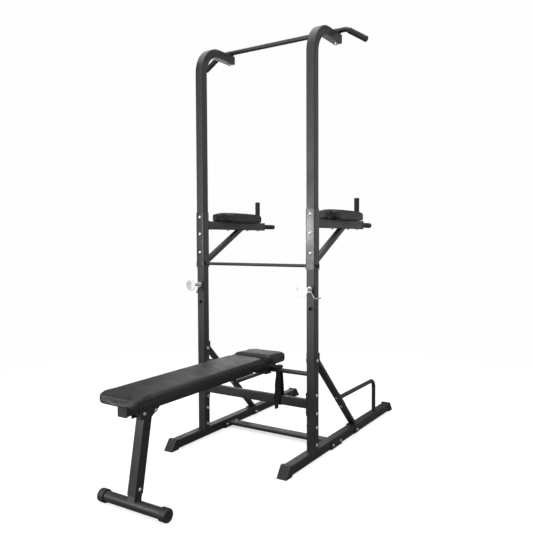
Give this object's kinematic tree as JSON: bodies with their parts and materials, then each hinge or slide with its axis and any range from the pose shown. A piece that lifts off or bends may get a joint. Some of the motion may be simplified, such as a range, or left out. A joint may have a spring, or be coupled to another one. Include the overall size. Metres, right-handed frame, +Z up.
{
  "type": "power tower with sit-up bench",
  "caption": "Free-standing square-tube power tower with a pull-up bar, padded dip arms, barbell rests, push-up handles and a padded bench that hooks on at the front",
  "frame": {"origin": "on the floor at the middle of the whole footprint", "axes": "+Z up; X along the pull-up bar; -Y towards the bench's free end, +Y towards the dip handles"},
  "size_m": [1.1436, 2.208, 2.3998],
  "materials": {
    "powder_coat": "fine textured satin powder coat",
    "black_plastic": "moulded, fine matte grain",
    "rubber": "matte",
    "grip_rubber": "ribbed matte",
    "black_vinyl": "grained, semi-gloss upholstery",
    "board": "dark backing board",
    "zinc": "zinc plated",
    "black_screw": "black oxide",
    "galvanised": "galvanised",
    "webbing": "woven webbing"
  },
  "bodies": {
    "tower": {"arm_brace_left": "powder_coat", "arm_brace_right": "powder_coat", "arm_pad_board_left": "board", "arm_pad_board_right": "board", "arm_pad_bolts": "zinc", "arm_pad_left": "black_vinyl", "arm_pad_right": "black_vinyl", "base_end_shoes": "black_plastic", "base_tube_left": "powder_coat", "base_tube_right": "powder_coat", "bench_hook_bar": "powder_coat", "crossbar_screws": "black_screw", "dip_arm_caps": "black_plastic", "dip_arm_left": "powder_coat", "dip_arm_right": "powder_coat", "dip_grip_left": "grip_rubber", "dip_grip_right": "grip_rubber", "floor_cross_member": "powder_coat", "frame_bolts": "zinc", "frame_nuts": "zinc", "knee_raise_grip_left": "grip_rubber", "knee_raise_grip_right": "grip_rubber", "lower_post_left": "powder_coat", "lower_post_right": "powder_coat", "middle_crossbar": "powder_coat", "post_hole_grommets": "black_plastic", "post_sleeve_left": "powder_coat", "post_sleeve_right": "powder_coat", "pull_up_bar": "powder_coat", "pull_up_bar_saddles": "powder_coat", "pull_up_grip_left": "grip_rubber", "pull_up_grip_right": "grip_rubber", "push_up_handle_left": "powder_coat", "push_up_handle_right": "powder_coat", "rear_brace_left": "powder_coat", "rear_brace_right": "powder_coat", "seat_cross_member": "powder_coat", "sleeve_bolts": "zinc", "strap_buckle": "black_screw", "strap_lashing": "webbing", "upper_post_caps": "black_plastic", "upper_post_left": "powder_coat", "upper_post_right": "powder_coat"},
    "bench": {"bench_beam": "powder_coat", "bench_beam_cap": "black_plastic", "bench_board": "board", "bench_bolts": "zinc", "bench_foot": "powder_coat", "bench_foot_caps": "rubber", "bench_hooks": "powder_coat", "bench_leg": "powder_coat", "bench_nuts": "zinc", "bench_pad": "black_vinyl", "bench_yoke": "powder_coat", "strap_over_bench": "webbing"},
    "rest_left": {"barbell_rest_left": "galvanised"},
    "rest_right": {"barbell_rest_right": "galvanised"},
    "bail_left": {"rest_bail_left": "galvanised"},
    "bail_right": {"rest_bail_right": "galvanised"}
  },
  "joints": [
    {"name": "bench_tilt", "type": "hinge", "parent": "tower", "child": "bench", "pos_m": [0, -0.032, 0.466], "axis": [-1, 0, 0], "range_deg": [0, 20]},
    {"name": "rest_slide_left", "type": "slide", "parent": "tower", "child": "rest_left", "axis": [0, -1, 0], "range_m": [0, 0.05]},
    {"name": "bail_swing_left", "type": "hinge", "parent": "rest_left", "child": "bail_left", "pos_m": [-0.375, -0.0637, 0.931], "axis": [0, 1, 0], "range_deg": [0, 90]},
    {"name": "rest_slide_right", "type": "slide", "parent": "tower", "child": "rest_right", "axis": [0, -1, 0], "range_m": [0, 0.05]},
    {"name": "bail_swing_right", "type": "hinge", "parent": "rest_right", "child": "bail_right", "pos_m": [0.375, -0.0637, 0.931], "axis": [0, -1, 0], "range_deg": [0, 90]}
  ]
}
